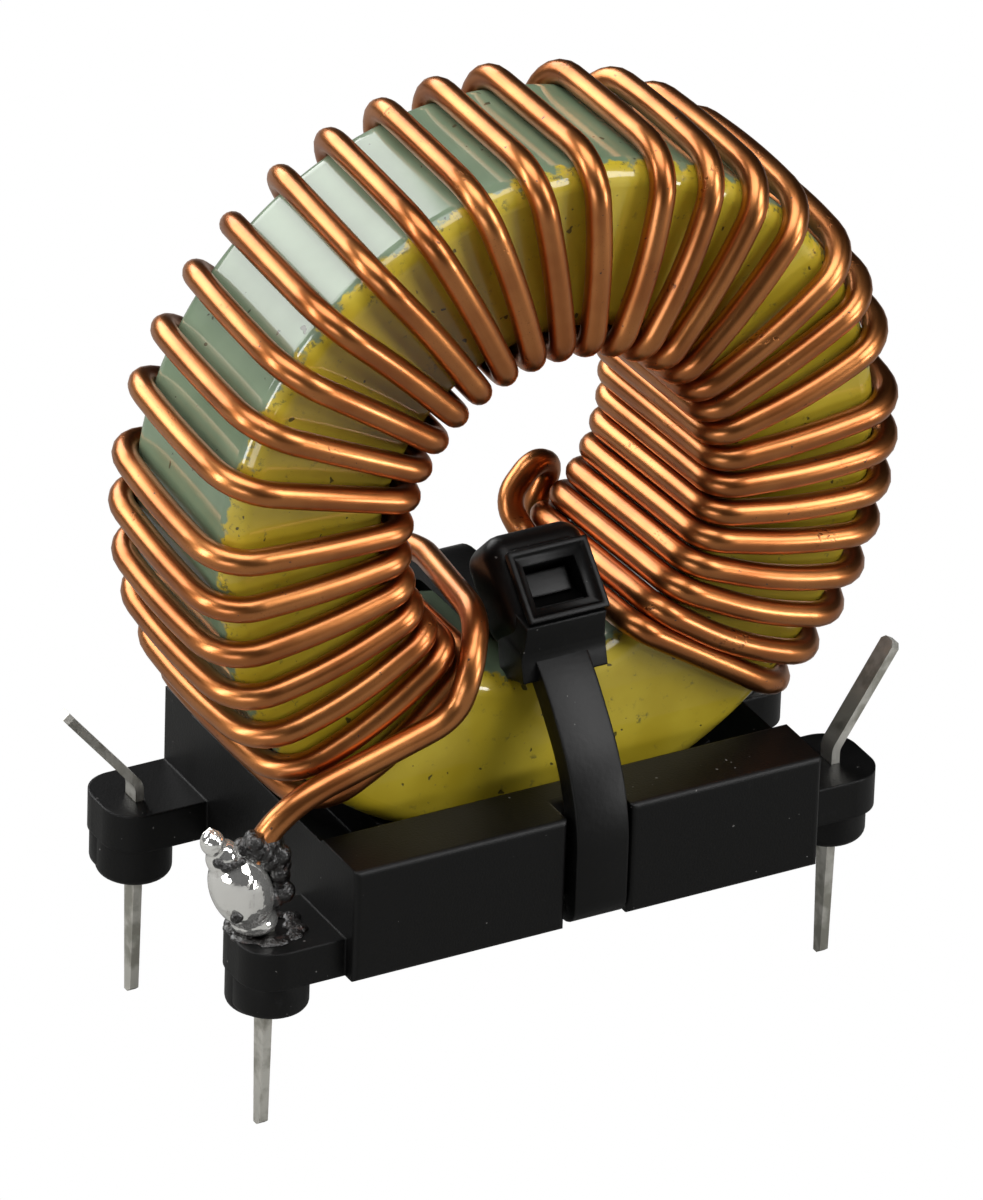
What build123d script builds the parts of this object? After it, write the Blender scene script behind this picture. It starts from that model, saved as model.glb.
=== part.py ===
"""Toroidal wire-wound inductor standing on a moulded four-pin base, tied down by a cable tie.

Frame: +Z up, X along the base's long side, Y from front to back.
The origin is on the board's surface, under the middle of the ring.
All lengths are in millimetres and all angles in degrees.
"""
import os
from math import cos, radians, sin, sqrt

from build123d import *

# Core: a powder ring with a rectangular section, its axis along Y
core_outer_diameter = 33.0
core_inner_diameter = 17.0
core_width = 9.5
core_edge_radius = 1.0

# Winding: one enamelled copper wire, its turns in groups with a wider gap between them
wire_diameter = 1.2
wire_gap = 0.06
wire_facets = 8
turn_corner = 0.9
turn_counts = (7, 9, 4, 3, 8)
turn_step_angles = (8.2, 9.6, 9.4, 8.2, 7.2)
group_step_angle = 12.3
outer_first_angle = -135.0
outer_slant_angle = 5.0
inner_first_angle = -146.0
inner_last_angle = 150.0
inner_crowding_angle = 23.0
inner_slant_angle = 3.0

# Leads: the wire's two ends, as angle and radius on the ring or as a height over the rails
lead_hole_front = (-140.0, 6.0)
lead_hole_back = (-158.0, 6.1)
lead_back_face = ((-154.0, 7.4), (-138.0, 13.0))
lead_front_face = ((-140.0, 8.0), (-144.5, 10.15), (-136.5, 12.55), (-128.0, 17.0))
lead_curl = ((150.0, 6.6, -0.9), (131.0, 6.6, -0.4), (129.0, 8.1, 0.2), (144.5, 9.1, 0.3))
lead_rail_place = (12.2, 7.0, 1.15)
lead_joint_reach = 3.4
lead_joint_aside = 1.02
lead_joint_sway = 0.2
lead_joint_dip = 1.6

# Base: one moulding that carries the ring between two rails, its ends set in from the ring's sides
seat_height = 1.9
base_height = 5.65
base_inset_left = 4.25
base_inset_right = 5.1
base_depth = 17.6
ring_floor_gap = 2.3
rail_clearance = 0.3
cradle_half_length = 8.5
cradle_width = 9.0
cradle_clearance = 0.05
pad_thickness = 0.8
tie_slot_width = 3.2
tie_shoulder_radius = 1.2
tie_groove_lift = 0.1
base_edge_radius = 0.25

# Arms and bosses: they hold the pins beyond the rails' ends
arm_thickness = 1.9
arm_end_margin = 1.75
arm_corner_radius = 1.6
left_arm_width = 4.3
right_arm_width = 4.6
boss_diameter = 3.5
boss_edge_radius = 0.4

# Pins: flat tinned strips pressed through the bosses, set in from the ring's sides and the rails
pin_width = 1.0
pin_thickness = 0.42
pin_fit = 0.02
pin_inset_ends = 1.5
pin_inset_left = 2.45
pin_inset_right = 4.5
pin_below_board = 6.4
pin_tip_width = 0.6
pin_tip_slant = 0.25
pin_end_chamfer = 0.22
pin_above_boss = 5.4
pin_straight_above = 0.5
pin_bend_radius = 0.8
pin_leans = {(-1, -1): 31.0, (-1, 1): 40.0, (1, -1): 32.0, (1, 1): 31.0}

# Cable tie: one nylon moulding, its tail cut off at the head
tie_width = 2.6
tie_thickness = 1.1
tie_clearance = 0.08
tie_corner_radius = 1.1
tie_shoulder = 0.5
tie_bow_radius = 2.0
tie_lean_place = (1.0, 2.1)
tie_head_width = 4.7
tie_head_length = 4.2
tie_head_height = 3.5
tie_head_tilt = 30.0
tie_head_corner = 0.9
tie_head_edge = 0.3
tie_head_lift = 3.1
tie_head_forward = 3.25
tie_tail_offset = 0.75
tie_aperture = 2.9
tie_aperture_depth = 1.5
tie_tail_below_rim = 0.35

# Solder joints: drops round the two pins that the wire ends at
solder_radius = 1.4
solder_foot_radius = 1.1
solder_height = 6.1

# Derived places
core_outer_radius = core_outer_diameter / 2
core_inner_radius = core_inner_diameter / 2
core_face = core_width / 2
wire_radius = wire_diameter / 2
wire_pitch = wire_diameter + wire_gap
wire_outer_radius = core_outer_radius + wire_gap + wire_radius
wire_inner_radius = core_inner_radius - wire_gap - wire_radius
wire_face = core_face + wire_gap + wire_radius
channel_radius = wire_outer_radius + wire_radius + rail_clearance
channel_half_width = wire_face + wire_radius + rail_clearance
ring_height = seat_height + ring_floor_gap + core_outer_radius
base_top = seat_height + base_height
arm_top = seat_height + arm_thickness
base_left = core_outer_radius - base_inset_left
base_right = core_outer_radius - base_inset_right
rail_face = base_depth / 2
pin_x = core_outer_radius - pin_inset_ends
turn_count = sum(turn_counts)


def on_ring(radius, angle, y):
    """A point at an angle measured clockwise from the ring's top, seen from the front."""
    return Vector(radius * sin(radians(angle)), y, ring_height + radius * cos(radians(angle)))


def outer_angles():
    """Where each turn meets the ring's front outer edge: groups with a wider step between them."""
    angles = []
    angle = outer_first_angle
    for count, step in zip(turn_counts, turn_step_angles):
        angles += [angle + step * n for n in range(count)]
        angle = angles[-1] + group_step_angle
    return angles


def inner_angle(turn):
    """Where a turn enters the hole: the turns crowd towards the last ones."""
    share = turn / (turn_count - 1)
    spread = inner_last_angle - inner_first_angle
    return inner_first_angle + spread * share + inner_crowding_angle * share * (1 - share)


def pin_row(end):
    """How far the two pins at one end stand from the middle plane."""
    return rail_face - (pin_inset_left if end < 0 else pin_inset_right)


def joint_run(end, side):
    """The wire's end inside a joint, against the bent pin's flank, and where it dips into the joint."""
    lean = radians(pin_leans[(end, side)])
    x = pin_x + lead_joint_reach * sin(lean) - lead_joint_aside
    z = arm_top + pin_straight_above + lead_joint_reach * cos(lean)
    last = Vector(end * x, side * pin_row(end), z)
    return last, last + Vector(-end * wire_radius, side * lead_joint_sway, lead_joint_dip)


def front_lead():
    """From the front left joint, over the first turns, through the hole and down the back."""
    face = wire_face + wire_pitch
    route = list(joint_run(-1, -1))
    route += [on_ring(radius, angle, -face) for angle, radius in reversed(lead_front_face)]
    route.append(on_ring(lead_hole_front[1], lead_hole_front[0], -core_face))
    route.append(on_ring(lead_hole_back[1], lead_hole_back[0], core_face - wire_diameter))
    route += [on_ring(radius, angle, face) for angle, radius in lead_back_face]
    return route


def back_lead():
    """Out of the hole at the back, round a curl and down to the back right joint."""
    face = wire_face + wire_pitch
    route = [
        on_ring(wire_inner_radius, inner_last_angle, -wire_face),
        on_ring(wire_inner_radius, inner_last_angle + inner_slant_angle, wire_face - wire_diameter),
    ]
    route += [on_ring(radius, angle, face + out) for angle, radius, out in lead_curl]
    x, y, rise = lead_rail_place
    route.append(Vector(x, y, base_top + rise))
    return route + list(reversed(joint_run(1, 1)))


def winding_route():
    """The whole wire, from joint to joint: each turn is four straight runs round the section."""
    outer = outer_angles()
    route = front_lead()
    for turn, angle in enumerate(outer):
        slant = outer_slant_angle * angle / outer_first_angle
        inner = inner_angle(turn)
        route.append(on_ring(wire_outer_radius, angle + slant, wire_face))
        route.append(on_ring(wire_outer_radius, angle, -wire_face))
        if turn < turn_count - 1:
            route.append(on_ring(wire_inner_radius, inner, -wire_face))
            route.append(on_ring(wire_inner_radius, inner + inner_slant_angle, wire_face))
    return route + back_lead()


def cut_corners(points, size):
    """The route with a short bevel in place of each corner, as thick wire bends."""
    route = [points[0]]
    for before, corner, after in zip(points, points[1:], points[2:]):
        for neighbour in (before, after):
            reach = neighbour - corner
            route.append(corner + reach.normalized() * min(size, reach.length * 0.35))
    route.append(points[-1])
    return route


def arm_outline(end, side):
    """Plan of one arm: from the rail's end to past its pin, rounded at its outer end."""
    left = end < 0
    root = -base_left if left else base_right
    tip = end * (pin_x + arm_end_margin)
    if left:
        width = left_arm_width
        middle = rail_face - width / 2
    else:
        width = right_arm_width
        middle = pin_row(end)
    with BuildSketch(Plane.XY.offset(seat_height)) as outline:
        with Locations(((root + tip) / 2, side * middle)):
            Rectangle(abs(tip - root), width)
        corners = outline.vertices().group_by(Axis.X)[0 if left else -1]
        fillet(corners, arm_corner_radius)
    return outline.sketch


def pin_places():
    """Each pin's name, its end and side, and its place on the board."""
    for name, end, side in (
        ("pin_front_left", -1, -1),
        ("pin_back_left", -1, 1),
        ("pin_front_right", 1, -1),
        ("pin_back_right", 1, 1),
    ):
        yield name, end, side, Vector(end * pin_x, side * pin_row(end))


os.makedirs("parts", exist_ok=True)

# Core
with BuildPart() as core:
    with BuildSketch(Plane.XZ.offset(-core_face)):
        with Locations((0, ring_height)):
            Circle(core_outer_radius)
            Circle(core_inner_radius, mode=Mode.SUBTRACT)
    extrude(amount=core_width)
    fillet(core.edges().filter_by(GeomType.CIRCLE), core_edge_radius)

# Winding
with BuildPart() as winding:
    with BuildLine():
        wire_path = Polyline(*cut_corners(winding_route(), turn_corner))
    with BuildSketch(wire_path ^ 0):
        RegularPolygon(wire_radius, wire_facets)
    sweep(transition=Transition.RIGHT)

# Base
with BuildPart() as base:
    with BuildSketch(Plane.XY.offset(seat_height)):
        with Locations(((base_right - base_left) / 2, 0)):
            Rectangle(base_left + base_right, base_depth)
    extrude(amount=base_height)
    for end in (-1, 1):
        for side in (-1, 1):
            extrude(arm_outline(end, side), amount=arm_thickness)
    with BuildSketch(Plane.XZ):
        with Locations((0, ring_height)):
            Circle(channel_radius)
    extrude(amount=channel_half_width, both=True, mode=Mode.SUBTRACT)
    with BuildSketch(Plane.XZ):
        with Locations((0, seat_height + base_height / 2)):
            Rectangle(2 * cradle_half_length, base_height)
        with Locations((0, ring_height)):
            Circle(core_outer_radius + cradle_clearance, mode=Mode.SUBTRACT)
    extrude(amount=cradle_width / 2, both=True)
    with BuildSketch(Plane.XY.offset(seat_height)):
        with Locations(((base_right - base_left) / 2, -rail_face - pad_thickness / 2)):
            Rectangle(base_left + base_right, pad_thickness)
        with Locations((0, -rail_face - pad_thickness / 2)):
            Rectangle(tie_slot_width, pad_thickness, mode=Mode.SUBTRACT)
    extrude(amount=base_height)
    pad_faces = base.faces().sort_by(Axis.Y)[:2]
    fillet(pad_faces.edges(), base_edge_radius)
    slot_shoulder = (
        base.edges()
        .filter_by(Axis.X)
        .filter_by_position(Axis.Y, -rail_face, -rail_face)
        .filter_by_position(Axis.Z, base_top, base_top)
    )
    fillet(slot_shoulder, tie_shoulder_radius)
    with BuildSketch(Plane.XY.offset(seat_height)):
        Rectangle(tie_slot_width, base_depth + 2 * pad_thickness)
    extrude(amount=tie_groove_lift + tie_thickness + tie_clearance, mode=Mode.SUBTRACT)
    with BuildSketch() as feet:
        with Locations(*(place for _, _, _, place in pin_places())):
            Circle(boss_diameter / 2)
    extrude(amount=arm_top)
    fillet(base.faces().sort_by(Axis.Z)[:4].edges(), boss_edge_radius)
    with BuildSketch():
        with Locations(*(place for _, _, _, place in pin_places())):
            Rectangle(pin_thickness + 2 * pin_fit, pin_width + 2 * pin_fit)
    extrude(amount=base_top, mode=Mode.SUBTRACT)

# Pins
pins = {}
for pin_name, end, side, place in pin_places():
    with BuildPart() as pin:
        with BuildLine(Plane(origin=place, x_dir=(end, 0, 0), z_dir=(0, -end, 0))) as pin_line:
            straight = Line((0, -pin_below_board), (0, arm_top + pin_straight_above))
            bend = JernArc(straight @ 1, straight % 1, pin_bend_radius, -pin_leans[(end, side)])
            Line(bend @ 1, bend @ 1 + (bend % 1) * pin_above_boss)
        with BuildSketch(Plane(origin=place - Vector(0, 0, pin_below_board))):
            Rectangle(pin_thickness, pin_width)
        sweep(path=pin_line.line)
        blade_end = pin.faces().sort_by(Axis(place, pin_line.line % 1))[-1]
        blade_corners = blade_end.edges().sort_by(Axis.Y)
        chamfer([blade_corners[0], blade_corners[-1]], pin_end_chamfer)
        with BuildSketch(Plane(origin=place, x_dir=(0, 1, 0), z_dir=(1, 0, 0))):
            low = -pin_below_board
            high = arm_top + pin_above_boss + pin_width
            Polygon(
                (-pin_width / 2, high),
                (-pin_width / 2, 0),
                (-pin_tip_width / 2, low + pin_tip_slant),
                (0, low),
                (pin_tip_width / 2, low),
                (pin_width / 2, 0),
                (pin_width / 2, high),
                align=None,
            )
        extrude(amount=pin_above_boss, both=True, mode=Mode.INTERSECT)
    pins[pin_name] = pin

# Cable tie
tilt = radians(tie_head_tilt)
tie_head_plane = Plane(
    origin=(0, -tie_head_forward, ring_height - core_inner_radius + tie_head_lift),
    x_dir=(1, 0, 0),
    z_dir=(0, -sin(tilt), cos(tilt)),
)
tie_front = rail_face + tie_clearance + tie_thickness / 2
tie_tight_radius = tie_thickness / 2 + tie_clearance
tie_low = seat_height + tie_groove_lift + tie_thickness / 2
tie_rest = ring_height - sqrt(core_inner_radius**2 - (tie_width / 2) ** 2)
tie_in_hole = tie_rest + tie_clearance + tie_thickness / 2
tie_start = tie_head_plane.from_local_coords(
    Vector(0, -tie_head_length / 2 + tie_head_edge, -(tie_head_height - tie_thickness) / 2 + tie_clearance)
)
tie_end = tie_head_plane.from_local_coords(Vector(0, tie_tail_offset, -tie_head_height / 2 + tie_head_edge))
tail_drop = (tie_end.Z - tie_in_hole) / cos(tilt)
tie_tail_foot = Vector(0, tie_end.Y + tail_drop * sin(tilt), tie_in_hole)
with BuildPart() as cable_tie:
    with BuildLine() as strap:
        FilletPolyline(
            tie_start,
            tie_head_plane.from_local_coords(Vector(0, -tie_head_length, -(tie_head_height - tie_thickness) / 2)),
            Vector(0, -tie_front + tie_lean_place[0], base_top + tie_lean_place[1]),
            Vector(0, -tie_front, base_top - tie_thickness / 2),
            Vector(0, -tie_front, tie_low),
            Vector(0, tie_front, tie_low),
            Vector(0, tie_front, base_top + tie_shoulder),
            Vector(0, core_face + tie_thickness, tie_in_hole),
            tie_tail_foot,
            tie_end,
            radius=(tie_bow_radius, tie_bow_radius, tie_bow_radius, tie_tight_radius, tie_tight_radius,
                    tie_bow_radius, tie_corner_radius, tie_corner_radius),
        )
    with BuildSketch(Plane(origin=strap.line @ 0, x_dir=(1, 0, 0), z_dir=strap.line % 0)):
        Rectangle(tie_width, tie_thickness)
    sweep()
    with BuildSketch(tie_head_plane.offset(-tie_head_height / 2)):
        RectangleRounded(tie_head_width, tie_head_length, tie_head_corner)
    extrude(amount=tie_head_height)
    head_top = cable_tie.faces().sort_by(Axis(tie_head_plane.origin, tie_head_plane.z_dir))[-1]
    fillet(head_top.edges(), tie_head_edge)
    with BuildSketch(tie_head_plane.offset(tie_head_height / 2)):
        Rectangle(tie_aperture, tie_aperture)
    extrude(amount=-tie_aperture_depth, mode=Mode.SUBTRACT)
    with BuildSketch(tie_head_plane.offset(tie_head_height / 2 - tie_tail_below_rim)):
        with Locations((0, tie_tail_offset)):
            Rectangle(tie_width, tie_thickness)
    extrude(amount=-tie_aperture_depth)

# Solder joints: a drop round each joined pin and the wire's end
solders = {}
for pin_name, end, side, place in pin_places():
    if end != side:
        continue
    lean = radians(pin_leans[(end, side)])
    root = place + Vector(0, 0, arm_top)
    axis_plane = Plane(origin=root, x_dir=(end * cos(lean), 0, -sin(lean)), z_dir=(0, -end, 0))
    with BuildPart() as solder:
        with BuildSketch(axis_plane):
            with BuildLine():
                foot = (solder_foot_radius, 0)
                belly = (solder_radius, solder_height * 0.4)
                tip = (0, solder_height)
                Spline(foot, belly, tip, tangents=[(0.3, 1), (-1, 0)])
                Polyline(tip, (0, 0), foot)
            make_face()
        revolve(axis=Axis(root, axis_plane.y_dir))
        for neighbour in (pins[pin_name], winding, base):
            add(neighbour.part, mode=Mode.SUBTRACT)
    solders[pin_name.replace("pin", "solder")] = solder

pieces = {"core": core, "winding": winding, "base": base, "cable_tie": cable_tie, **pins, **solders}
for node, piece in pieces.items():
    piece.part.label = node
    export_step(piece.part, f"parts/{node}.step")
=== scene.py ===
"""Look of the toroidal inductor: wound ring, moulded base, cable tie, pins and solder joints."""

from math import atan2, cos, pi, radians, sin
from random import Random

import bpy
from mathutils import Matrix, Vector


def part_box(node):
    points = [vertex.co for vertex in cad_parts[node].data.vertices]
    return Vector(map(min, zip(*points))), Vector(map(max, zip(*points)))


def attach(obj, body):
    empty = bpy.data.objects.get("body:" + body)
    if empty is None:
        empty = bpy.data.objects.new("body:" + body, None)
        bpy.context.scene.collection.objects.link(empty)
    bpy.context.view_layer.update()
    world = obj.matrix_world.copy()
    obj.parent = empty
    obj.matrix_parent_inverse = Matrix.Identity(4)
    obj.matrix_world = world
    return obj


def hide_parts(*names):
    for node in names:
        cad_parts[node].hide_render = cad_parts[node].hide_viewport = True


MM = 0.001

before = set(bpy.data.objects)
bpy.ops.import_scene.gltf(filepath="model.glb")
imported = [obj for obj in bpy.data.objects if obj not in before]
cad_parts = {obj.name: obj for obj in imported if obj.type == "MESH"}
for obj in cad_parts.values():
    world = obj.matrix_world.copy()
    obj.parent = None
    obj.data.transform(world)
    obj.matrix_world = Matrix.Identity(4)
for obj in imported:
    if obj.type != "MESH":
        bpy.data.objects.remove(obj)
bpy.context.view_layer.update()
chance = Random(31)

# Core and wire, in millimetres; angles run clockwise from the ring's top, seen from the front
core_low, core_high = (corner / MM for corner in map(Vector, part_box("core")))
core_radius = (core_high.x - core_low.x) / 2
core_face = (core_high.y - core_low.y) / 2
core_height = (core_high.z + core_low.z) / 2
core_bore_radius = 8.5
wire_radius = 0.6
wire_gap = 0.06
wire_pitch = 2 * wire_radius + wire_gap
wire_outer = core_radius + wire_gap + wire_radius
wire_inner = core_bore_radius - wire_gap - wire_radius
wire_face = core_face + wire_gap + wire_radius
lead_face = wire_face + wire_pitch

# Turns: groups of a count and a step in degrees, and how they start, crowd, slant and stray
turn_groups = ((7, 8.2), (9, 9.6), (4, 9.4), (3, 8.2), (8, 7.2))
turn_count = sum(count for count, pitch in turn_groups)
group_step = 12.3
outer_first_angle = -135.0
outer_slant = 5.0
outer_sway = 0.7
inner_first_angle, inner_last_angle = -146.0, 150.0
inner_crowding = 23.0
inner_slant = 3.0
least_bow, most_bow = 0.22, 0.42
face_sway = 0.4

# Bends: how far each reaches along the wire on both sides of its corner
outer_back_bend, outer_middle_bend, outer_front_bend = 2.2, 3.0, 2.6
face_bend = 3.0
inner_bend = 1.2
joint_bend, dip_bend = 0.5, 0.8

# Leads: radius and angle on the ring, depth, and the reach of the bend
front_lead = (
    (17.0, -128.0, -lead_face, 1.5),
    (12.55, -136.5, -lead_face, 2.0),
    (10.15, -144.5, -lead_face, 1.3),
    (8.0, -140.0, -lead_face, 1.0),
    (6.0, -140.0, -core_face, 1.4),
    (6.1, -158.0, core_face - 1.2, 1.3),
    (7.4, -154.0, lead_face, 0.9),
    (13.0, -138.0, lead_face, 2.0),
)
back_lead = (
    (wire_inner, inner_last_angle, -wire_face, 1.2),
    (wire_inner, inner_last_angle + inner_slant, wire_face - 1.2, 0.9),
    (6.6, 150.0, lead_face - 0.9, 0.9),
    (6.6, 131.0, lead_face - 0.4, 0.8),
    (8.1, 129.0, lead_face + 0.2, 0.8),
    (9.1, 144.5, lead_face + 0.3, 1.2),
)
back_lead_fall, back_lead_fall_bend = Vector((12.2, 7.0, 8.7)), 1.5

# Pins, arms and bosses: an end is -1 at the left or 1 at the right, a side -1 in front or 1 behind
pin_x, pin_left_y, pin_right_y = 15.0, 6.35, 4.3
arm_top = 3.8
blade_lean = 31.0
blade_bend_height = 0.5
board_to_tip = -min(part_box("pin_front_left")[0][2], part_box("pin_back_left")[0][2]) / MM
skirt_radius, skirt_height = 1.75, 1.75
skirt_middle, skirt_offset, skirt_edge = 1.175, 0.6, 0.25

# Joints: the wire's end along a pin's bent blade, and its dip into the solder
wire_end_reach, wire_end_inset = 3.4, 1.02
dip_side, dip_rise = 0.2, 1.6

# Solder drop: place out past the pin, towards the rail's face and above the arm, radii and lean
drop_balls = (
    ((0.60, 0.0, 0.60), (1.10, 1.10, 0.70), 0.0),
    ((1.34, 0.15, 2.40), (1.38, 1.32, 2.15), 24.0),
    ((2.20, 0.05, 4.15), (0.80, 0.78, 0.90), 0.0),
    ((2.75, 0.05, 5.05), (0.56, 0.60, 0.62), 0.0),
)

# Flux: a crust that follows a path of places out and up, spots on it and a collar round its foot
crust_path = (
    (1.10, 4.25), (0.80, 4.75), (0.35, 4.75), (-0.10, 4.50), (-0.35, 4.00), (0.35, 4.00),
    (0.05, 3.40), (-0.45, 3.30), (-0.50, 2.70), (-0.45, 2.10), (-0.20, 1.50),
)
crust_count, crust_front, crust_sway, crust_sizes = 5, 0.30, 0.32, (0.26, 0.52)
crust_spots = ((2.65, 0.50, 4.25), (2.35, 0.68, 4.05), (2.05, 0.80, 4.15), (1.75, 0.95, 4.30))
spot_sizes = (0.20, 0.30)
belly_spot, belly_spot_radii = (2.02, 1.12, 1.62), (0.33, 0.22, 0.30)
collar_count, collar_radius, collar_sway = 34, 1.36, (-0.20, 0.22)
collar_sizes, collar_shape = (0.14, 0.34), (1.4, 1.4, 0.6)

# Cable tie: the runs are depth and height from point to point
strap_width, strap_thickness, strap_edge = 2.6, 1.1, 0.12
strap_side, strap_floor, strap_seat = 9.43, 2.55, 12.83
strap_front_run = (
    (-4.3, 13.9), (-5.9, 12.7), (-8.43, 9.65), (-strap_side, 7.0), (-strap_side, 4.6)
)
strap_under_run = (
    (-strap_side, 4.5), (-strap_side, strap_floor), (strap_side, strap_floor), (strap_side, 4.5)
)
strap_tail_run = (
    (strap_side, 4.6), (strap_side, 8.05), (5.85, strap_seat), (-0.3, strap_seat), (-3.75, 16.3)
)
neck_x, neck_thickness = 0.1, 2.2
neck_run = ((-4.75, 15.6), (-4.60, 14.6), (-4.50, 13.6), (-4.85, 12.40))
neck_widths = (4.0, 4.0, 4.03, 4.06, 4.1, 4.14, 4.2, 4.25)
head_size, head_round = (4.9, 4.7, 3.3), 0.95
head_place, head_tilt = (0.25, -4.3, 17.3), 45.0
crown_size, crown_shift, crown_rise = (4.0, 3.4), -0.55, 0.35
crown_edge = 0.17
aperture_steps = ((0.22, 0.0), (0.12, -0.22), (0.36, -0.18), (0.02, -2.2))
hairline = 0.02


def linear(code):
    """An sRGB hex colour as linear light."""
    channels = [int(code[i : i + 2], 16) / 255 for i in (1, 3, 5)]
    return tuple(c / 12.92 if c <= 0.04045 else ((c + 0.055) / 1.055) ** 2.4 for c in channels) + (1.0,)


# Materials


class Shader:
    """The node tree of a material or a world: add() makes a node with its settings and links."""

    def __init__(self, owner):
        owner.use_nodes = True
        self.owner = owner
        self.tree = owner.node_tree
        self.tree.nodes.clear()

    def add(self, kind, settings=None, **links):
        """One node. Settings are its properties; a link is a node's output or a plain value."""
        node = self.tree.nodes.new(kind)
        for key, value in (settings or {}).items():
            setattr(node, key, value)
        for key, value in links.items():
            socket = self.socket(node.inputs, key)
            if isinstance(value, bpy.types.NodeSocket):
                self.tree.links.new(value, socket)
            else:
                socket.default_value = value
        return node

    @staticmethod
    def socket(sockets, key):
        """A socket by its name with underscores for spaces, or by its number as in i0."""
        if key[0] == "i" and key[1:].isdigit():
            return sockets[int(key[1:])]
        return next(s for s in sockets if s.name.replace(" ", "_") == key)

    def place(self, output="Object"):
        return self.add("ShaderNodeTexCoord").outputs[output]

    def streaks(self, vector, scale):
        """Noise drawn out along one axis: scale is how many blotches fit in a unit of each axis."""
        drawn = self.add("ShaderNodeMapping", Vector=vector, Scale=scale).outputs[0]
        return self.add("ShaderNodeTexNoise", Vector=drawn, Scale=1.0, Detail=3.0).outputs[0]

    def noise(self, size_mm, detail=3.0, roughness=0.5):
        """Cloudy noise whose blotches are about size_mm across."""
        return self.add(
            "ShaderNodeTexNoise",
            Vector=self.place(),
            Scale=1 / (size_mm * MM),
            Detail=detail,
            Roughness=roughness,
        ).outputs[0]

    def ramp(self, value, low, high, bottom=0.0, top=1.0):
        """Value mapped smoothly from low..high to bottom..top."""
        return self.add(
            "ShaderNodeMapRange",
            {"interpolation_type": "SMOOTHSTEP"},
            Value=value,
            From_Min=low,
            From_Max=high,
            To_Min=bottom,
            To_Max=top,
        ).outputs[0]

    def math(self, operation, a, b):
        return self.add("ShaderNodeMath", {"operation": operation}, i0=a, i1=b).outputs[0]

    def plus(self, a, b):
        return self.math("ADD", a, b)

    def minus(self, a, b):
        return self.math("SUBTRACT", a, b)

    def times(self, a, b):
        return self.math("MULTIPLY", a, b)

    def mix(self, factor, a, b):
        """Colour a, with b over it by the factor."""
        return self.add("ShaderNodeMix", {"data_type": "RGBA"}, i0=factor, i6=a, i7=b).outputs[2]

    def bump(self, height, depth_mm, **links):
        """A normal for a relief that is depth_mm deep."""
        return self.add(
            "ShaderNodeBump", Height=height, Distance=depth_mm * MM, Strength=1.0, **links
        ).outputs[0]

    def finish(self, **links):
        """The one principled surface and its output."""
        surface = self.add("ShaderNodeBsdfPrincipled", **links)
        self.add("ShaderNodeOutputMaterial", Surface=surface.outputs[0])
        return self.owner

    def white_to_camera(self, glow_kind, elsewhere, output_kind):
        """Plain white where the camera looks straight at it, and the given surface elsewhere."""
        seen = self.add("ShaderNodeLightPath").outputs["Is Camera Ray"]
        glow = self.add(glow_kind, Color=linear("#FFFFFF"), Strength=1.0).outputs[0]
        both = self.add("ShaderNodeMixShader", i0=seen, i1=elsewhere, i2=glow).outputs[0]
        self.add(output_kind, Surface=both)
        return self.owner


def new_material(name):
    """A material without nodes, ready for its own."""
    return Shader(bpy.data.materials.new(name))


def enamelled_copper():
    """Drawn copper under clear polyurethane enamel: satin, with scuffs, scratches and dust."""
    s = new_material("enamelled_copper")
    streak = s.streaks(s.place("UV"), (160.0, 18.0, 1.0))
    patch = s.noise(3.5)
    speck = s.ramp(s.noise(0.30, detail=2.0), 0.72, 0.76)
    bruise = s.times(s.ramp(s.noise(0.22, detail=5.0), 0.56, 0.66), s.ramp(s.noise(2.2), 0.60, 0.70))
    scratch = s.times(s.ramp(s.noise(0.09, detail=2.0), 0.62, 0.70), s.ramp(patch, 0.50, 0.62))
    copper = s.mix(s.ramp(patch, 0.3, 0.7), linear("#A26235"), linear("#BC7C48"))
    streaked = s.mix(s.ramp(streak, 0.50, 0.80, 0.0, 0.22), copper, linear("#8E5228"))
    bruised = s.mix(s.times(bruise, 0.75), streaked, linear("#4A2410"))
    dusty = s.mix(s.times(speck, 0.9), bruised, linear("#160C08"))
    height = s.plus(s.times(streak, 0.10), s.minus(s.noise(1.8), bruise))
    return s.finish(
        Base_Color=s.mix(s.times(scratch, 0.30), dusty, linear("#6E3E20")),
        Metallic=s.minus(1.0, s.times(speck, 0.8)),
        Roughness=s.plus(s.ramp(streak, 0.3, 0.8, 0.30, 0.37), s.times(scratch, 0.12)),
        Normal=s.bump(height, 0.012),
        Coat_Weight=0.22,
        Coat_Roughness=0.16,
        Coat_IOR=1.55,
        Coat_Tint=linear("#FFE6C4"),
    )


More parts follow.
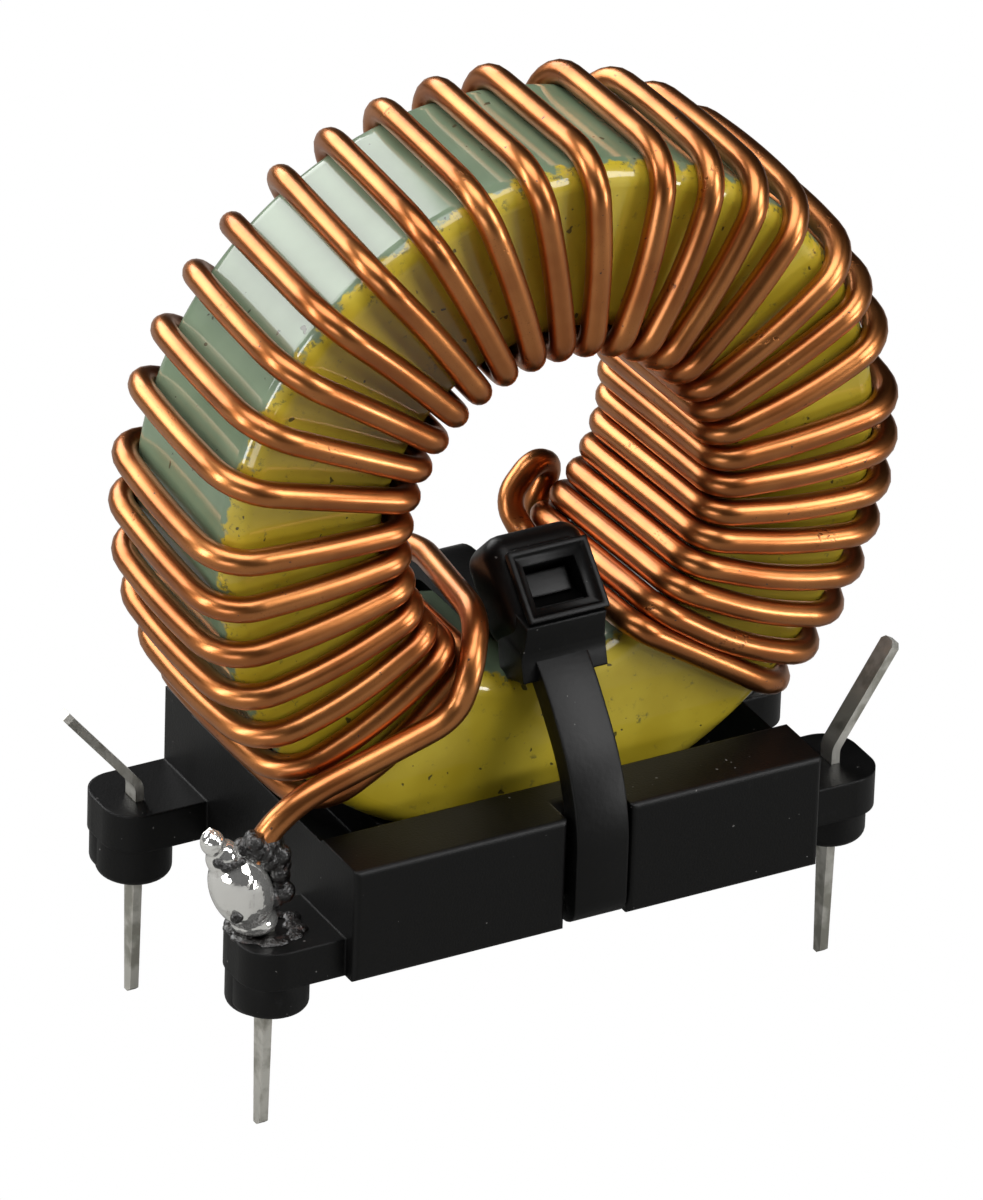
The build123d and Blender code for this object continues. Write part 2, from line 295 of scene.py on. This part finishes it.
def painted_powder():
    """Pressed iron powder in epoxy paint: green all over, then yellow sprayed on the front face."""
    s = new_material("painted_powder")
    depth = s.add("ShaderNodeSeparateXYZ", Vector=s.place()).outputs[1]
    wander = s.times(s.minus(s.noise(0.7, detail=6.0), 0.5), 1.9 * MM)
    edge = s.plus(depth, wander)
    # Depths at which the yellow ends, is full and begins to fringe
    ends, full, fringes = ((behind - core_face) * MM for behind in (0.75, 0.50, 0.05))
    front = s.ramp(edge, ends, full)
    blotch = s.ramp(s.noise(0.30, detail=5.0, roughness=0.65), 0.54, 0.60)
    fringe = s.times(s.ramp(edge, fringes, full), blotch)
    pinhole = s.ramp(s.noise(0.5, detail=1.0), 0.735, 0.765)
    cloud = s.ramp(s.noise(4.0), 0.3, 0.7)
    green = s.mix(cloud, linear("#5F7259"), linear("#6C7F66"))
    yellow = s.mix(cloud, linear("#A8931F"), linear("#BAA630"))
    sprayed = s.mix(s.times(fringe, 0.8), yellow, linear("#4E5230"))
    coat = s.mix(front, green, sprayed)
    return s.finish(
        Base_Color=s.mix(s.times(pinhole, 0.85), coat, linear("#35331C")),
        Roughness=0.45,
        Specular_IOR_Level=0.3,
        Normal=s.bump(s.minus(s.times(s.noise(2.2), 0.5), pinhole), 0.03),
        Coat_Weight=0.85,
        Coat_Roughness=0.07,
    )


def moulded_black(name, tone, gloss, grain_mm):
    """Injection-moulded black plastic: fine grain, faint scuffs and a little dust."""
    s = new_material(name)
    dust = s.ramp(s.noise(0.26, detail=1.0), 0.775, 0.80)
    scuff = s.times(s.ramp(s.noise(1.6, detail=6.0, roughness=0.7), 0.62, 0.74), 0.15)
    colour = s.mix(scuff, linear(tone), linear("#2A2A2B"))
    eased = s.add("ShaderNodeBevel", {"samples": 6}, Radius=0.16 * MM).outputs[0]
    return s.finish(
        Base_Color=s.mix(s.times(dust, 0.5), colour, linear("#8A8886")),
        Roughness=s.plus(gloss, scuff),
        Specular_IOR_Level=0.22,
        Normal=s.bump(s.noise(grain_mm), 0.008, Normal=eased),
    )


def tinned_brass():
    """Tinned brass strip: dull, a little oxidised, with drawing marks along it."""
    s = new_material("tinned_wire")
    stain = s.noise(1.4, detail=4.0)
    return s.finish(
        Base_Color=s.mix(s.ramp(stain, 0.42, 0.62), linear("#D2D0C8"), linear("#9C9A90")),
        Metallic=0.75,
        Roughness=s.ramp(stain, 0.3, 0.7, 0.28, 0.45),
        Normal=s.bump(s.streaks(s.place(), (9000.0, 9000.0, 600.0)), 0.012),
    )


def solder_metal():
    """Bright tin-lead solder, smooth with shallow dents."""
    s = new_material("solder_metal")
    stain = s.ramp(s.noise(0.5, detail=4.0), 0.60, 0.72)
    return s.finish(
        Base_Color=s.mix(s.times(stain, 0.5), linear("#F6F5F1"), linear("#8A867F")),
        Metallic=0.88,
        Roughness=s.ramp(stain, 0.0, 1.0, 0.08, 0.28),
        Normal=s.bump(s.noise(0.7, detail=2.0), 0.08),
    )


def burnt_flux():
    """Charred rosin flux: black-brown, glossy and bubbly, amber where it is thin."""
    s = new_material("burnt_flux")
    return s.finish(
        Base_Color=s.mix(s.ramp(s.noise(0.5), 0.60, 0.72), linear("#070403"), linear("#32160A")),
        Roughness=0.30,
        Coat_Weight=0.35,
        Coat_Roughness=0.06,
        Normal=s.bump(s.noise(0.16), 0.12),
    )


def white_stage():
    """A studio sweep: plain white to the camera, pale and matt to everything else."""
    s = new_material("white_stage")
    matt = s.add("ShaderNodeBsdfDiffuse", Color=linear("#8C8C8A")).outputs[0]
    return s.white_to_camera("ShaderNodeEmission", matt, "ShaderNodeOutputMaterial")


# Tools for pieces


def dress(obj, material):
    """Gives a piece its one material."""
    obj.data.materials.clear()
    obj.data.materials.append(material)


def keep(obj, material, slot, *nodes):
    """A finished piece: its material, the body it rides on and the nodes it replaces; the slot argument
    is not used.
    """
    dress(obj, material)
    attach(obj, "root")
    if nodes:
        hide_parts(*nodes)


def pick(*objects):
    """Selects these pieces alone; the first is the active one."""
    bpy.ops.object.select_all(action="DESELECT")
    for obj in objects:
        obj.select_set(True)
    bpy.context.view_layer.objects.active = objects[0]


def open_mesh():
    """Edit mode on the active piece, with all of it selected."""
    bpy.ops.object.mode_set(mode="EDIT")
    bpy.ops.mesh.select_all(action="SELECT")


def close_mesh():
    """Back from edit mode, with the active piece."""
    bpy.ops.object.mode_set(mode="OBJECT")
    return bpy.context.view_layer.objects.active


def rename(obj, name):
    obj.name = obj.data.name = name


def rotate(angle, axis, pivot):
    """Turns the selection right-handed about an axis: the operator's own angle runs the other way."""
    bpy.ops.transform.rotate(value=-angle, orient_axis=axis, center_override=pivot)


def smooth(obj, angle=35.0):
    """Smooth shading, with edges sharper than the angle kept."""
    pick(obj)
    bpy.ops.object.shade_smooth_by_angle(angle=radians(angle))


def soften(obj, width):
    """Rounds the active piece's sharp edges."""
    bevel = obj.modifiers.new("soften", "BEVEL")
    bevel.width = width * MM
    bevel.segments = 4
    bevel.limit_method = "ANGLE"
    bevel.angle_limit = radians(50)
    bpy.ops.object.modifier_apply(modifier="soften")


# Winding


def on_ring(radius, angle, y):
    """A point at an angle measured clockwise from the ring's top, seen from the front."""
    return Vector((radius * sin(radians(angle)), y, core_height + radius * cos(radians(angle))))


def outer_angles():
    """Where each turn meets the ring's front outer edge: groups with a wider step between them."""
    angles = []
    angle = outer_first_angle
    for count, pitch in turn_groups:
        angles += [angle + pitch * n for n in range(count)]
        angle = angles[-1] + group_step
    return angles


def inner_angle(number):
    """Where a turn enters the hole: the turns crowd towards the last ones."""
    share = number / (turn_count - 1)
    spread = inner_last_angle - inner_first_angle
    return inner_first_angle + spread * share + inner_crowding * share * (1 - share)


def pin_depth(end):
    """How far the pins at one end stand from the middle plane."""
    return pin_left_y if end < 0 else pin_right_y


def joint_run(end, side):
    """The wire's end in a joint, against the bent blade's flank, and where it dips into the joint."""
    lean = radians(blade_lean)
    x = pin_x + wire_end_reach * sin(lean) - wire_end_inset
    z = arm_top + blade_bend_height + wire_end_reach * cos(lean)
    last = Vector((end * x, side * pin_depth(end), z))
    return last, last + Vector((-end * wire_radius, side * dip_side, dip_rise))


def lead_corners(lead):
    return [(on_ring(radius, angle, y), bend) for radius, angle, y, bend in lead]


def turn_corners(number, angle):
    """One turn: over the ring's outside, down its front face and back through the hole."""
    slant = outer_slant * angle / outer_first_angle + chance.uniform(-outer_sway, outer_sway)
    inner = inner_angle(number)
    bow = chance.uniform(least_bow, most_bow)
    # The bow dies away at the ring's top, where the wire lies flat
    crest = bow * (1 - max(0.0, cos(radians(angle))) ** 6)
    corners = [
        (on_ring(wire_outer, angle + slant, wire_face), outer_back_bend),
        (on_ring(wire_outer + crest, angle + slant / 2, 0.0), outer_middle_bend),
        (on_ring(wire_outer, angle, -wire_face), outer_front_bend),
    ]
    if number == turn_count - 1:
        return corners
    middle = (angle + inner) / 2 + chance.uniform(-face_sway, face_sway)
    return corners + [
        (on_ring((wire_outer + wire_inner) / 2, middle, -wire_face - bow), face_bend),
        (on_ring(wire_inner, inner, -wire_face), inner_bend),
        (on_ring(wire_inner, inner + inner_slant, wire_face), inner_bend),
    ]


def winding_route():
    """The whole wire as corners, each with how far its bend reaches along both runs."""
    start, front_dip = joint_run(-1, -1)
    end, back_dip = joint_run(1, 1)
    route = [(start, joint_bend), (front_dip, dip_bend)] + lead_corners(front_lead)
    for number, angle in enumerate(outer_angles()):
        route += turn_corners(number, angle)
    route += lead_corners(back_lead)
    return route + [(back_lead_fall, back_lead_fall_bend), (back_dip, dip_bend), (end, joint_bend)]


def wire_piece(name, route, radius):
    """A round wire along the corners, as one Bezier spline with two points at each bend."""
    curve = bpy.data.curves.new(name, "CURVE")
    curve.dimensions = "3D"
    curve.bevel_depth = radius * MM
    curve.bevel_resolution = 7
    curve.resolution_u = 7
    curve.use_fill_caps = True
    most_of_run = 0.42
    straight_handle, bend_handle = 1 / 3, 0.6
    places = [(route[0][0], None)]
    for (before, _), (corner, reach), (after, _) in zip(route, route[1:], route[2:]):
        for neighbour in (before, after):
            run = neighbour - corner
            places.append((corner + run.normalized() * min(reach, run.length * most_of_run), corner))
    places.append((route[-1][0], None))
    spline = curve.splines.new("BEZIER")
    spline.bezier_points.add(len(places) - 1)
    for n, (point, (place, corner)) in enumerate(zip(spline.bezier_points, places)):
        point.co = place * MM
        point.handle_left_type = point.handle_right_type = "FREE"
        before = places[max(n - 1, 0)][0]
        after = places[min(n + 1, len(places) - 1)][0]
        entering = n % 2 == 1
        back, ahead = (straight_handle, bend_handle) if entering else (bend_handle, straight_handle)
        towards_before = before if entering or corner is None else corner
        towards_after = corner if entering and corner is not None else after
        point.handle_left = (place + (towards_before - place) * back) * MM
        point.handle_right = (place + (towards_after - place) * ahead) * MM
    obj = bpy.data.objects.new(name, curve)
    bpy.context.collection.objects.link(obj)
    pick(obj)
    bpy.ops.object.convert(target="MESH")
    obj = bpy.context.view_layer.objects.active
    smooth(obj, 60.0)
    return obj


# Joints and bosses


def lump(name, balls, grain, evenness):
    """One closed lump: rounded balls of a centre, three radii and a lean about Y, melted together."""
    parts = []
    for centre, radii, lean in balls:
        bpy.ops.mesh.primitive_ico_sphere_add(subdivisions=4, radius=MM)
        open_mesh()
        bpy.ops.transform.resize(value=radii, center_override=(0, 0, 0))
        rotate(radians(lean), "Y", (0, 0, 0))
        bpy.ops.transform.translate(value=Vector(centre) * MM)
        parts.append(close_mesh())
    pick(*parts)
    bpy.ops.object.join()
    obj = bpy.context.view_layer.objects.active
    rename(obj, name)
    melt = obj.modifiers.new("melt", "REMESH")
    melt.mode = "VOXEL"
    melt.voxel_size = grain * MM
    even = obj.modifiers.new("even", "SMOOTH")
    even.iterations = evenness
    even.factor = 0.5
    for modifier in ("melt", "even"):
        bpy.ops.object.modifier_apply(modifier=modifier)
    bpy.ops.object.shade_smooth()
    return obj


def joint_place(end, side, out, front, up):
    """A place by a joint: out past its pin, towards its own rail's face and above its arm."""
    return Vector((end * (pin_x + out), side * (pin_depth(end) + front), arm_top + up))


def joint_balls(end, side):
    """A drop of solder on a bent pin: a foot, an oval belly and an ear over the pin's tip."""
    return [(joint_place(end, side, *place), radii, end * lean) for place, radii, lean in drop_balls]


def flux_balls(end, side):
    """Charred flux: a knobbly crust where the wire enters, spots on it and a collar at its foot."""
    balls = []
    for out, up in crust_path:
        for _ in range(crust_count):
            sway = [chance.uniform(-crust_sway, crust_sway) for _ in range(3)]
            size = chance.uniform(*crust_sizes)
            place = joint_place(end, side, out + sway[0], crust_front + sway[1], up + sway[2])
            balls.append((place, (size,) * 3, 0))
    for spot in crust_spots:
        size = chance.uniform(*spot_sizes)
        balls.append((joint_place(end, side, *spot), (size,) * 3, 0))
    balls.append((joint_place(end, side, *belly_spot), belly_spot_radii, 0))
    for n in range(collar_count):
        angle = 2 * pi * n / collar_count
        rim = collar_radius + chance.uniform(*collar_sway)
        size = chance.uniform(*collar_sizes)
        place = joint_place(end, side, rim * cos(angle), rim * sin(angle), 0.0)
        balls.append((place, tuple(size * part for part in collar_shape), 0))
    return balls


def boss_skirt(name, end, side):
    """The fuller outer wall of a left boss, flush with the arm above it."""
    bpy.ops.mesh.primitive_cylinder_add(
        vertices=64, radius=skirt_radius * MM, depth=skirt_height * MM
    )
    open_mesh()
    place = Vector((end * pin_x, side * (pin_left_y + skirt_offset), skirt_middle))
    bpy.ops.transform.translate(value=place * MM)
    obj = close_mesh()
    rename(obj, name)
    soften(obj, skirt_edge)
    smooth(obj)
    return obj


# Cable tie


def in_middle(run, x=0.0):
    """A run's depths and heights as points in one plane across the base."""
    return [Vector((x, y, z)) for y, z in run]


def bent(points, reach, steps):
    """The path with each corner rounded: a short curve that begins and ends `reach` from it."""
    most_of_run = 0.48
    path = [points[0]]
    for before, corner, after in zip(points, points[1:], points[2:]):
        start, end = (
            corner + run.normalized() * min(reach, run.length * most_of_run)
            for run in (before - corner, after - corner)
        )
        for n in range(steps + 1):
            share = n / steps
            path.append(start.lerp(corner, share).lerp(corner.lerp(end, share), share))
    return path + [points[-1]]


def rise(run):
    """The angle of a run in the YZ plane, from +Z towards the front."""
    return atan2(-run.y, run.z)


def strap_piece(name, path, widths, thickness):
    """A flat strap along a path in the YZ plane: one face extruded and turned from point to point.

    The last width holds for the rest of the path.
    """
    widths = list(widths) + [widths[-1]] * (len(path) - len(widths))
    bpy.ops.mesh.primitive_plane_add(size=MM)
    open_mesh()
    bpy.ops.transform.resize(value=(widths[0], thickness, 1), center_override=(0, 0, 0))
    heading = rise(path[1] - path[0])
    rotate(heading, "X", (0, 0, 0))
    bpy.ops.transform.translate(value=path[0] * MM)
    for n in range(1, len(path)):
        step = (path[n] - path[n - 1]) * MM
        bpy.ops.mesh.extrude_region_move(TRANSFORM_OT_translate={"value": step})
        ahead = path[min(n + 1, len(path) - 1)] - path[n - 1]
        bend = (rise(ahead) - heading + pi) % (2 * pi) - pi
        if abs(bend) > 1e-5:
            rotate(bend, "X", path[n] * MM)
            heading += bend
        if widths[n] != widths[n - 1]:
            grow = (widths[n] / widths[n - 1], 1, 1)
            bpy.ops.transform.resize(value=grow, center_override=path[n] * MM)
    bpy.ops.mesh.select_all(action="SELECT")
    bpy.ops.mesh.normals_make_consistent(inside=False)
    obj = close_mesh()
    rename(obj, name)
    soften(obj, strap_edge)
    smooth(obj)
    return obj


def top_face(obj):
    """Selects the one face that lies highest, in edit mode with faces picked."""
    bpy.ops.object.mode_set(mode="OBJECT")
    highest = max(obj.data.polygons, key=lambda face: (round(face.center.z / MM, 3), face.area))
    for part in (*obj.data.vertices, *obj.data.edges, *obj.data.polygons):
        part.select = False
    highest.select = True
    bpy.ops.object.mode_set(mode="EDIT")
    bpy.ops.mesh.select_mode(type="FACE")


def head_piece(name):
    """The tie's head, upright at the origin: a rounded block and a crown round its aperture."""
    width, length, height = head_size
    bpy.ops.mesh.primitive_cube_add(size=MM)
    obj = bpy.context.view_layer.objects.active
    rename(obj, name)
    open_mesh()
    bpy.ops.transform.resize(value=head_size, center_override=(0, 0, 0))
    bpy.ops.transform.translate(value=Vector((0, 0, -height / 2 - 2 * crown_rise)) * MM)
    bpy.ops.mesh.bevel(offset=head_round * MM, segments=6, affect="EDGES")
    # The crown flares out from the block's flat top, and the aperture steps down into it
    top_face(obj)
    bpy.ops.mesh.inset(thickness=hairline * MM)
    flat = [side - 2 * head_round - 2 * hairline for side in (width, length)]
    flare = (crown_size[0] / flat[0], crown_size[1] / flat[1], 1)
    shifted = (0, crown_shift * MM, crown_rise * MM)
    bpy.ops.mesh.extrude_region_move(TRANSFORM_OT_translate={"value": shifted})
    bpy.ops.transform.resize(value=flare, center_override=Vector((0, crown_shift, 0)) * MM)
    bpy.ops.mesh.extrude_region_move(TRANSFORM_OT_translate={"value": (0, 0, crown_rise * MM)})
    for thickness, depth in aperture_steps:
        bpy.ops.mesh.inset(thickness=thickness * MM, depth=depth * MM)
    bpy.ops.mesh.select_all(action="SELECT")
    bpy.ops.mesh.normals_make_consistent(inside=False)
    close_mesh()
    soften(obj, crown_edge)
    return obj


def tilt(obj, angle, place):
    """Leans a piece forward about X and sets it in its place."""
    pick(obj)
    open_mesh()
    rotate(angle, "X", (0, 0, 0))
    bpy.ops.transform.translate(value=Vector(place) * MM)
    close_mesh()
    smooth(obj)


# Pieces and their materials
copper = enamelled_copper()
paint = painted_powder()
base_black = moulded_black("base_black", "#040404", 0.42, 0.12)
tie_black = moulded_black("tie_black", "#030303", 0.40, 0.30)
tinned = tinned_brass()
solder = solder_metal()
flux = burnt_flux()

dress(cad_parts["core"], paint)
dress(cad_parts["base"], base_black)
for corner in ("front_left", "back_left", "front_right", "back_right"):
    dress(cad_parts["pin_" + corner], tinned)

keep(wire_piece("winding_wire", winding_route(), wire_radius), copper, "enamelled_copper", "winding")

for end, side, corner in ((-1, -1, "front_left"), (1, 1, "back_right")):
    drop = lump("solder_drop_" + corner, joint_balls(end, side), grain=0.08, evenness=12)
    keep(drop, solder, "solder", "solder_" + corner)
    crust = lump("flux_crust_" + corner, flux_balls(end, side), grain=0.05, evenness=2)
    keep(crust, flux, "solder")

head = head_piece("tie_head")
tilt(head, radians(head_tilt), head_place)
strap_path = bent(in_middle(strap_front_run), reach=1.6, steps=6)
strap_path += bent(in_middle(strap_under_run), reach=0.62, steps=5)
strap_path += bent(in_middle(strap_tail_run), reach=1.1, steps=6)
strap = strap_piece("tie_strap", strap_path, (strap_width,), strap_thickness)
neck_path = bent(in_middle(neck_run, neck_x), reach=0.5, steps=4)
neck = strap_piece("tie_neck", neck_path, neck_widths, neck_thickness)
for piece in (head, strap, neck):
    keep(piece, tie_black, "black_nylon", "cable_tie")

for side, where in ((-1, "front"), (1, "back")):
    keep(boss_skirt("boss_skirt_" + where, -1, side), base_black, "black_moulding")

# Stage
floor_size = 1.6
bpy.ops.mesh.primitive_plane_add(size=floor_size, location=(0, 0, -board_to_tip * MM))
floor = bpy.context.view_layer.objects.active
floor.name = "floor"
floor.data.materials.append(white_stage())

# World: white to the camera, dim grey to everything else
world = bpy.data.worlds.new("studio")
studio = Shader(world)
room = studio.add("ShaderNodeBackground", Color=linear("#202022"), Strength=0.6).outputs[0]
studio.white_to_camera("ShaderNodeBackground", room, "ShaderNodeOutputWorld")
bpy.context.scene.world = world


def softbox(name, place_mm, size_mm, watts):
    """A white area lamp that faces the ring's middle."""
    light = bpy.data.lights.new(name, "AREA")
    light.shape = "RECTANGLE"
    light.size, light.size_y = (side * MM for side in size_mm)
    light.energy = watts
    obj = bpy.data.objects.new(name, light)
    obj.location = Vector(place_mm) * MM
    aim = Vector((0, 0, core_height)) * MM - obj.location
    obj.rotation_euler = aim.to_track_quat("-Z", "Y").to_euler()
    bpy.context.collection.objects.link(obj)


softbox("back_top", (-95, 235, 165), (300, 150), 0.85)
softbox("overhead", (-40, -40, 300), (240, 200), 0.75)
softbox("left", (-280, 20, 120), (60, 200), 0.50)
softbox("front_right", (150, -200, 190), (120, 150), 0.50)
softbox("low_left", (-250, -170, 15), (150, 110), 0.26)
softbox("low_right", (230, -250, 25), (90, 70), 0.32)

# Camera, solved from the photograph: 983 pixels wide, focal length in those pixels
photo_width, focal_pixels = 983, 12000.0
azimuth, elevation, roll = radians(-29.45), radians(29.34), radians(1.93)
aim = Vector((-3.30, -4.98, 16.85))
distance = 530.12
backwards = Vector((sin(azimuth) * cos(elevation), -cos(azimuth) * cos(elevation), sin(elevation)))
lens = bpy.data.cameras.new("camera")
lens.sensor_fit = "HORIZONTAL"
lens.sensor_width = 36.0
lens.lens = focal_pixels / photo_width * lens.sensor_width
lens.clip_start, lens.clip_end = 0.05, 5.0
camera = bpy.data.objects.new("camera", lens)
bpy.context.collection.objects.link(camera)
camera.location = (aim + backwards * distance) * MM
camera.rotation_mode = "QUATERNION"
level = (-backwards).to_track_quat("-Z", "Y")
camera.rotation_quaternion = level @ Matrix.Rotation(roll, 3, "Z").to_quaternion()
bpy.context.scene.camera = camera
bpy.context.scene.view_settings.view_transform = "Standard"
